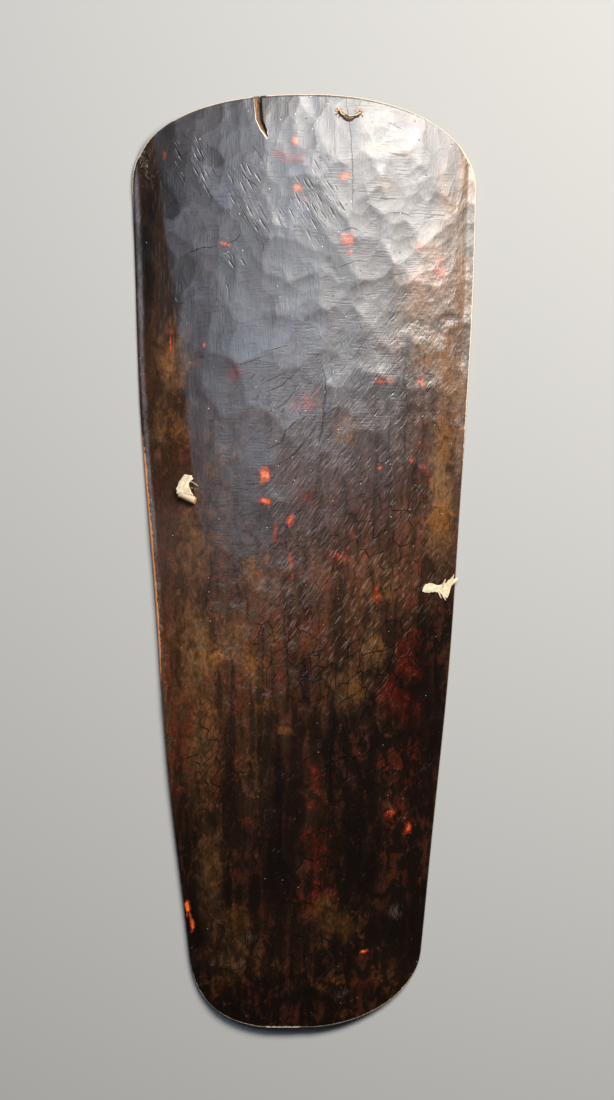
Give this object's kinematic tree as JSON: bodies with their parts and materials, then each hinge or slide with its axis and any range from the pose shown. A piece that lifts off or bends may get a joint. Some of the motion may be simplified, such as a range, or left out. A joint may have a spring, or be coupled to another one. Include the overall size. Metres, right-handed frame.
{
  "type": "tribal war shield",
  "caption": "Tall tapering carved wooden war shield with a rounded top and foot, an arched hollow back, a slack bast carrying strap and a stitched crack at the top.",
  "frame": {"origin": "middle of the footprint of the shield lying on its back, on the resting surface", "axes": "+Y along the board to its broad top end, +Z out of its front, +X to the right edge seen from the front"},
  "size_m": [0.5204, 1.3991, 0.0549],
  "materials": {
    "smoked_wood": "smoked and handled, dark brown to black, satin with a dull lower half",
    "pale_bast": "dry undyed bark fibre, matt",
    "dark_fibre": "dark twisted plant fibre, matt"
  },
  "bodies": {
    "root": {"shield_board": "smoked_wood", "strap": "pale_bast", "knot_left": "pale_bast", "knot_right": "pale_bast", "crack_stitch": "dark_fibre"}
  },
  "joints": []
}
